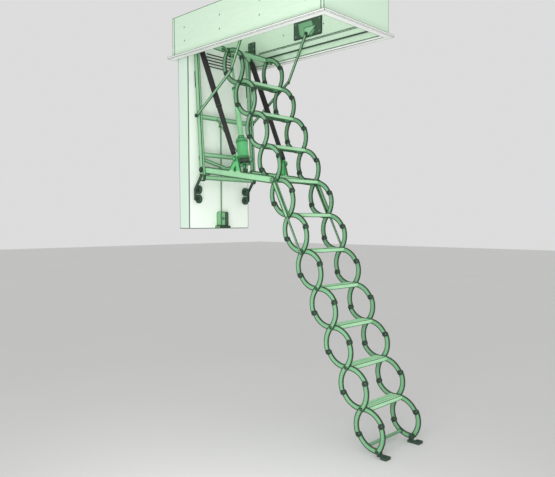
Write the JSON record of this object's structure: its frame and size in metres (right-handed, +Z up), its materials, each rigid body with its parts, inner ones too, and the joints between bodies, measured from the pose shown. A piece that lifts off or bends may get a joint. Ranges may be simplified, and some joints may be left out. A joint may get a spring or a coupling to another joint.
{
  "type": "retractable attic stairs",
  "caption": "Retractable attic stair: scissor chains of S-shaped links carry treads and fold up into a ceiling casing by drive arms, struts and an actuator.",
  "frame": {"origin": "on the outer face of the casing's hinge end board, at its centre", "axes": "+Z up; +X from the hinge end of the hatch towards the feet of the stair; Y across the hatch"},
  "size_m": [2.0032, 0.77, 3.103],
  "materials": {
    "casing_board": "satin",
    "trim": "satin",
    "door": "satin",
    "lock": "satin",
    "tread": "satin",
    "link": "satin",
    "frame": "satin",
    "motor": "gloss",
    "strut": "satin",
    "roller": "matte",
    "foot": "matte",
    "bracket": "satin",
    "bar": "satin"
  },
  "bodies": {
    "hatch": {"casing_ends": "casing_board", "casing_sides": "casing_board", "ceiling_trim": "trim", "door_panel": "door", "door_pivots": "bracket", "door_lock": "lock", "frame_shaft": "frame", "frame_stiles": "frame", "frame_crossbars": "frame", "top_carriers": "frame", "carrier_crossbars": "frame", "side_brackets": "bracket", "stay_lower": "bar", "stay_upper": "bar", "roller_arms": "frame"},
    "arms": {"drive_arms": "frame"},
    "top_inner": {"top_links_inner": "link"},
    "top_outer": {"top_links_outer": "link"},
    "inner_10": {"links_inner_10": "link", "tread_10": "tread"},
    "outer_10": {"links_outer_10": "link"},
    "inner_09": {"links_inner_09": "link", "tread_09": "tread"},
    "outer_09": {"links_outer_09": "link"},
    "inner_08": {"links_inner_08": "link", "tread_08": "tread"},
    "outer_08": {"links_outer_08": "link"},
    "inner_07": {"links_inner_07": "link", "tread_07": "tread"},
    "outer_07": {"links_outer_07": "link"},
    "inner_06": {"links_inner_06": "link", "tread_06": "tread"},
    "outer_06": {"links_outer_06": "link"},
    "inner_05": {"links_inner_05": "link", "tread_05": "tread"},
    "outer_05": {"links_outer_05": "link"},
    "inner_04": {"links_inner_04": "link", "tread_04": "tread"},
    "outer_04": {"links_outer_04": "link"},
    "inner_03": {"links_inner_03": "link", "tread_03": "tread"},
    "outer_03": {"links_outer_03": "link"},
    "inner_02": {"links_inner_02": "link", "tread_02": "tread"},
    "outer_02": {"links_outer_02": "link"},
    "inner_01": {"links_inner_01": "link", "tread_01": "tread"},
    "outer_01": {"links_outer_01": "link"},
    "foot_inner": {"foot_links_inner": "link"},
    "foot_outer": {"foot_links_outer": "link"},
    "feet": {"feet": "foot"},
    "guide_channel": {"guide_channels": "frame"},
    "guide_rod": {"guide_rods": "bar"},
    "strut_tube": {"strut_tubes": "strut"},
    "strut_rod": {"strut_rods": "strut"},
    "screw_rod": {"screw_rod": "bar"},
    "actuator": {"gear_motor": "motor", "screw_tube": "frame"},
    "rollers_upper": {"rollers_upper": "roller"},
    "rollers_lower": {"rollers_lower": "roller"}
  },
  "joints": [
    {"name": "stair_lift", "type": "hinge", "parent": "hatch", "child": "arms", "pos_m": [0.2656, 0, -1.05218], "axis": [0, -1, 0], "range_deg": [0, 71.2]},
    {"name": "top_inner_turn", "type": "hinge", "parent": "hatch", "child": "top_inner", "pos_m": [0.502, 0, -0.165], "axis": [0, -1, 0], "range_deg": [0, 45.04]},
    {"name": "top_outer_turn", "type": "hinge", "parent": "hatch", "child": "top_outer", "pos_m": [0.502, 0, -0.165], "axis": [0, 1, 0], "range_deg": [0, 45.04]},
    {"name": "outer_10_pivot", "type": "hinge", "parent": "top_inner", "child": "outer_10", "pos_m": [0.65212, 0, -0.24596], "axis": [0, 1, 0], "range_deg": [0, 90.08]},
    {"name": "crossing_10", "type": "hinge", "parent": "outer_10", "child": "inner_10", "pos_m": [0.62938, 0, -0.415], "axis": [0, -1, 0], "range_deg": [0, 90.08]},
    {"name": "inner_09_pivot", "type": "hinge", "parent": "outer_10", "child": "inner_09", "pos_m": [0.60664, 0, -0.58404], "axis": [0, -1, 0], "range_deg": [0, 90.08]},
    {"name": "crossing_09", "type": "hinge", "parent": "inner_09", "child": "outer_09", "pos_m": [0.75676, 0, -0.665], "axis": [0, 1, 0], "range_deg": [0, 90.08]},
    {"name": "outer_08_pivot", "type": "hinge", "parent": "inner_09", "child": "outer_08", "pos_m": [0.90688, 0, -0.74596], "axis": [0, 1, 0], "range_deg": [0, 90.08]},
    {"name": "crossing_08", "type": "hinge", "parent": "outer_08", "child": "inner_08", "pos_m": [0.88414, 0, -0.915], "axis": [0, -1, 0], "range_deg": [0, 90.08]},
    {"name": "inner_07_pivot", "type": "hinge", "parent": "outer_08", "child": "inner_07", "pos_m": [0.86141, 0, -1.08404], "axis": [0, -1, 0], "range_deg": [0, 90.08]},
    {"name": "crossing_07", "type": "hinge", "parent": "inner_07", "child": "outer_07", "pos_m": [1.01153, 0, -1.165], "axis": [0, 1, 0], "range_deg": [0, 90.08]},
    {"name": "outer_06_pivot", "type": "hinge", "parent": "inner_07", "child": "outer_06", "pos_m": [1.16164, 0, -1.24596], "axis": [0, 1, 0], "range_deg": [0, 90.08]},
    {"name": "crossing_06", "type": "hinge", "parent": "outer_06", "child": "inner_06", "pos_m": [1.13891, 0, -1.415], "axis": [0, -1, 0], "range_deg": [0, 90.08]},
    {"name": "inner_05_pivot", "type": "hinge", "parent": "outer_06", "child": "inner_05", "pos_m": [1.11617, 0, -1.58404], "axis": [0, -1, 0], "range_deg": [0, 90.08]},
    {"name": "crossing_05", "type": "hinge", "parent": "inner_05", "child": "outer_05", "pos_m": [1.26629, 0, -1.665], "axis": [0, 1, 0], "range_deg": [0, 90.08]},
    {"name": "outer_04_pivot", "type": "hinge", "parent": "inner_05", "child": "outer_04", "pos_m": [1.41641, 0, -1.74596], "axis": [0, 1, 0], "range_deg": [0, 90.08]},
    {"name": "crossing_04", "type": "hinge", "parent": "outer_04", "child": "inner_04", "pos_m": [1.39367, 0, -1.915], "axis": [0, -1, 0], "range_deg": [0, 90.08]},
    {"name": "inner_03_pivot", "type": "hinge", "parent": "outer_04", "child": "inner_03", "pos_m": [1.37093, 0, -2.08404], "axis": [0, -1, 0], "range_deg": [0, 90.08]},
    {"name": "crossing_03", "type": "hinge", "parent": "inner_03", "child": "outer_03", "pos_m": [1.52105, 0, -2.165], "axis": [0, 1, 0], "range_deg": [0, 90.08]},
    {"name": "outer_02_pivot", "type": "hinge", "parent": "inner_03", "child": "outer_02", "pos_m": [1.67117, 0, -2.24596], "axis": [0, 1, 0], "range_deg": [0, 90.08]},
    {"name": "crossing_02", "type": "hinge", "parent": "outer_02", "child": "inner_02", "pos_m": [1.64843, 0, -2.415], "axis": [0, -1, 0], "range_deg": [0, 90.08]},
    {"name": "inner_01_pivot", "type": "hinge", "parent": "outer_02", "child": "inner_01", "pos_m": [1.62569, 0, -2.58404], "axis": [0, -1, 0], "range_deg": [0, 90.08]},
    {"name": "crossing_01", "type": "hinge", "parent": "inner_01", "child": "outer_01", "pos_m": [1.77581, 0, -2.665], "axis": [0, 1, 0], "range_deg": [0, 90.08]},
    {"name": "foot_outer_pivot", "type": "hinge", "parent": "inner_01", "child": "foot_outer", "pos_m": [1.92593, 0, -2.74596], "axis": [0, 1, 0], "range_deg": [0, 90.08]},
    {"name": "foot_crossing", "type": "hinge", "parent": "foot_outer", "child": "foot_inner", "pos_m": [1.90319, 0, -2.915], "axis": [0, -1, 0], "range_deg": [0, 90.08]},
    {"name": "feet_level", "type": "hinge", "parent": "foot_outer", "child": "feet", "pos_m": [1.90319, 0, -2.915], "axis": [0, -1, 0], "range_deg": [0, 45.04]},
    {"name": "guide_channel_pivot", "type": "hinge", "parent": "inner_07", "child": "guide_channel", "pos_m": [1.01153, 0, -1.165], "axis": [0, 1, 0], "range_deg": [0, 45.04]},
    {"name": "guide_rod_pivot", "type": "hinge", "parent": "inner_05", "child": "guide_rod", "pos_m": [1.26629, 0, -1.665], "axis": [0, 1, 0], "range_deg": [0, 45.04]},
    {"name": "strut_turn", "type": "hinge", "parent": "hatch", "child": "strut_tube", "pos_m": [0.25, 0, -0.105], "axis": [0, 1, 0], "range_deg": [0, 15.77]},
    {"name": "strut_slide", "type": "slide", "parent": "strut_tube", "child": "strut_rod", "axis": [-0.4061, 0, 0.9138], "range_m": [0, 0.39678]},
    {"name": "actuator_turn", "type": "hinge", "parent": "hatch", "child": "screw_rod", "pos_m": [0.3, 0, -0.128], "axis": [0, 1, 0], "range_deg": [0, 8.12]},
    {"name": "actuator_slide", "type": "slide", "parent": "screw_rod", "child": "actuator", "axis": [-0.175, 0, 0.9846], "range_m": [0, 0.19831]},
    {"name": "rollers_upper_spin", "type": "hinge", "parent": "hatch", "child": "rollers_upper", "pos_m": [0.1903, 0, -1.205], "axis": [0, 1, 0], "continuous": true},
    {"name": "rollers_lower_spin", "type": "hinge", "parent": "hatch", "child": "rollers_lower", "pos_m": [0.1903, 0, -1.279], "axis": [0, 1, 0], "continuous": true}
  ],
  "couplings": [
    {"joint": "top_inner_turn", "follows": "stair_lift", "ratio": 0.63254},
    {"joint": "top_outer_turn", "follows": "stair_lift", "ratio": 0.63254},
    {"joint": "outer_10_pivot", "follows": "stair_lift", "ratio": 1.2651},
    {"joint": "crossing_10", "follows": "stair_lift", "ratio": 1.2651},
    {"joint": "inner_09_pivot", "follows": "stair_lift", "ratio": 1.2651},
    {"joint": "crossing_09", "follows": "stair_lift", "ratio": 1.2651},
    {"joint": "outer_08_pivot", "follows": "stair_lift", "ratio": 1.2651},
    {"joint": "crossing_08", "follows": "stair_lift", "ratio": 1.2651},
    {"joint": "inner_07_pivot", "follows": "stair_lift", "ratio": 1.2651},
    {"joint": "crossing_07", "follows": "stair_lift", "ratio": 1.2651},
    {"joint": "outer_06_pivot", "follows": "stair_lift", "ratio": 1.2651},
    {"joint": "crossing_06", "follows": "stair_lift", "ratio": 1.2651},
    {"joint": "inner_05_pivot", "follows": "stair_lift", "ratio": 1.2651},
    {"joint": "crossing_05", "follows": "stair_lift", "ratio": 1.2651},
    {"joint": "outer_04_pivot", "follows": "stair_lift", "ratio": 1.2651},
    {"joint": "crossing_04", "follows": "stair_lift", "ratio": 1.2651},
    {"joint": "inner_03_pivot", "follows": "stair_lift", "ratio": 1.2651},
    {"joint": "crossing_03", "follows": "stair_lift", "ratio": 1.2651},
    {"joint": "outer_02_pivot", "follows": "stair_lift", "ratio": 1.2651},
    {"joint": "crossing_02", "follows": "stair_lift", "ratio": 1.2651},
    {"joint": "inner_01_pivot", "follows": "stair_lift", "ratio": 1.2651},
    {"joint": "crossing_01", "follows": "stair_lift", "ratio": 1.2651},
    {"joint": "foot_outer_pivot", "follows": "stair_lift", "ratio": 1.2651},
    {"joint": "foot_crossing", "follows": "stair_lift", "ratio": 1.2651},
    {"joint": "feet_level", "follows": "stair_lift", "ratio": 0.63254},
    {"joint": "guide_channel_pivot", "follows": "stair_lift", "ratio": 0.63254},
    {"joint": "guide_rod_pivot", "follows": "stair_lift", "ratio": 0.63254},
    {"joint": "strut_turn", "follows": "stair_lift", "ratio": 0.22147},
    {"joint": "strut_slide", "follows": "stair_lift", "m_per_rad": 0.31928},
    {"joint": "actuator_turn", "follows": "stair_lift", "ratio": 0.11405},
    {"joint": "actuator_slide", "follows": "stair_lift", "m_per_rad": 0.15958}
  ]
}
